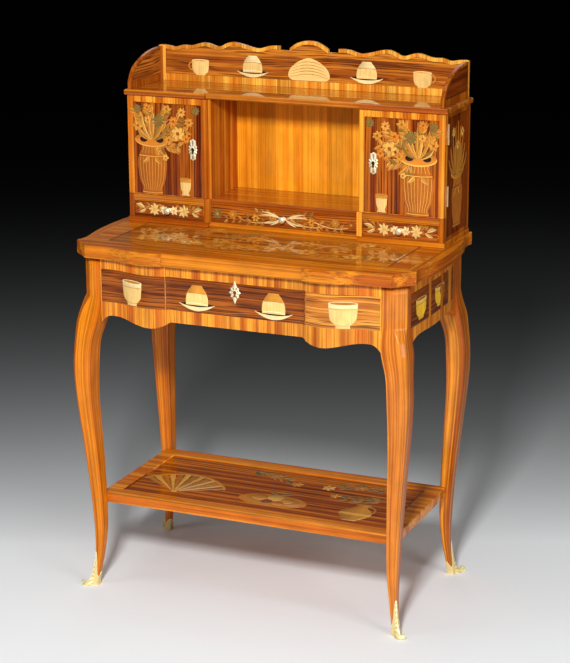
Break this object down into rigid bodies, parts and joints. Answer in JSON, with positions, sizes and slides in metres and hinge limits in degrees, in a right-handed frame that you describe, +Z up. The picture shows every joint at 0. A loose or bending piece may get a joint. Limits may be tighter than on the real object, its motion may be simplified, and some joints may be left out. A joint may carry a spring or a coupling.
{
  "type": "writing table with upper cabinet",
  "caption": "Small writing table on cabriole legs with a bowed frieze drawer, a lower shelf and an upper cabinet of doors, drawers, open niche and gallery.",
  "frame": {"origin": "on the floor, under the middle of the writing top", "axes": "+X towards the sitter's right, -Y the front, +Z up"},
  "size_m": [0.7452, 0.428, 1.117],
  "materials": {
    "top_marquetry": "french polished floral marquetry in a tulipwood border",
    "top_lipping": "french polished tulipwood, grain along the edge",
    "leg_veneer": "french polished tulipwood veneer, grain along the leg",
    "frieze_marquetry": "crossbanded tulipwood round a dark rosewood band with pale inlaid vessels",
    "case_veneer": "french polished tulipwood veneer, grain upright",
    "door_marquetry": "floral marquetry on rosewood in a tulipwood frame",
    "small_drawer_marquetry": "dark rosewood inlaid with pale sprays",
    "gallery_marquetry": "rosewood inlaid with pale vessels above a tulipwood band",
    "shelf_marquetry": "dark rosewood field with pale inlays",
    "shelf_moulding": "french polished tulipwood",
    "carcass_oak": "waxed oak, hidden framing",
    "drawer_oak": "plain waxed oak lining",
    "gilt": "gilt bronze, chased and polished",
    "lock_brass": "brushed brass lock case",
    "bolt_iron": "filed iron bolt"
  },
  "bodies": {
    "desk": {"writing_top": "top_marquetry", "top_lipping_front": "top_lipping", "top_lipping_left": "top_lipping", "top_lipping_right": "top_lipping", "leg_front_left": "leg_veneer", "leg_front_right": "leg_veneer", "leg_rear_left": "leg_veneer", "leg_rear_right": "leg_veneer", "sabot_front_left": "gilt", "sabot_front_right": "gilt", "sabot_rear_left": "gilt", "sabot_rear_right": "gilt", "side_rail_left": "frieze_marquetry", "side_rail_right": "frieze_marquetry", "rear_rail": "carcass_oak", "front_rail": "carcass_oak", "drawer_runner_left": "carcass_oak", "drawer_runner_right": "carcass_oak", "hinge_case_leaves": "gilt", "hinge_pins": "gilt", "lower_shelf": "shelf_marquetry", "lower_shelf_moulding": "shelf_moulding", "cabinet_base": "case_veneer", "cabinet_side_left": "case_veneer", "cabinet_side_right": "case_veneer", "cabinet_shelf": "case_veneer", "divider_left": "case_veneer", "divider_right": "case_veneer", "cabinet_back": "case_veneer", "cabinet_top": "case_veneer", "gallery_back": "gallery_marquetry", "gallery_side_left": "gallery_marquetry", "gallery_side_right": "gallery_marquetry"},
    "frieze_drawer": {"frieze_drawer_front": "frieze_marquetry", "frieze_drawer_side_left": "drawer_oak", "frieze_drawer_side_right": "drawer_oak", "frieze_drawer_back": "drawer_oak", "frieze_drawer_bottom": "drawer_oak", "frieze_lock_case": "lock_brass", "frieze_escutcheon": "gilt"},
    "frieze_bolt": {"frieze_lock_bolt": "bolt_iron"},
    "door_left": {"door_left": "door_marquetry", "hinge_door_leaves_left": "gilt", "door_lock_case_left": "lock_brass", "door_escutcheon_left": "gilt"},
    "door_bolt_left": {"door_lock_bolt_left": "bolt_iron"},
    "door_right": {"door_right": "door_marquetry", "hinge_door_leaves_right": "gilt", "door_lock_case_right": "lock_brass", "door_escutcheon_right": "gilt"},
    "door_bolt_right": {"door_lock_bolt_right": "bolt_iron"},
    "small_drawer_left": {"small_drawer_front_left": "small_drawer_marquetry", "small_drawer_box_left": "drawer_oak", "knob_left": "gilt"},
    "small_drawer_centre": {"small_drawer_front_centre": "small_drawer_marquetry", "small_drawer_box_centre": "drawer_oak", "knob_centre": "gilt"},
    "small_drawer_right": {"small_drawer_front_right": "small_drawer_marquetry", "small_drawer_box_right": "drawer_oak", "knob_right": "gilt"}
  },
  "joints": [
    {"name": "frieze_drawer_slide", "type": "slide", "parent": "desk", "child": "frieze_drawer", "axis": [0, -1, 0], "range_m": [0, 0.24]},
    {"name": "frieze_bolt_slide", "type": "slide", "parent": "frieze_drawer", "child": "frieze_bolt", "axis": [0, 0, 1], "range_m": [0, 0.006]},
    {"name": "door_hinge_left", "type": "hinge", "parent": "desk", "child": "door_left", "pos_m": [-0.3512, 0.05815, 0.9], "axis": [0, 0, -1], "range_deg": [0, 180]},
    {"name": "door_bolt_slide_left", "type": "slide", "parent": "door_left", "child": "door_bolt_left", "axis": [1, 0, 0], "range_m": [0, 0.004]},
    {"name": "door_hinge_right", "type": "hinge", "parent": "desk", "child": "door_right", "pos_m": [0.3512, 0.05815, 0.9], "axis": [0, 0, 1], "range_deg": [0, 180]},
    {"name": "door_bolt_slide_right", "type": "slide", "parent": "door_right", "child": "door_bolt_right", "axis": [-1, 0, 0], "range_m": [0, 0.004]},
    {"name": "small_drawer_slide_left", "type": "slide", "parent": "desk", "child": "small_drawer_left", "axis": [0, -1, 0], "range_m": [0, 0.1]},
    {"name": "small_drawer_slide_centre", "type": "slide", "parent": "desk", "child": "small_drawer_centre", "axis": [0, -1, 0], "range_m": [0, 0.1]},
    {"name": "small_drawer_slide_right", "type": "slide", "parent": "desk", "child": "small_drawer_right", "axis": [0, -1, 0], "range_m": [0, 0.1]}
  ]
}
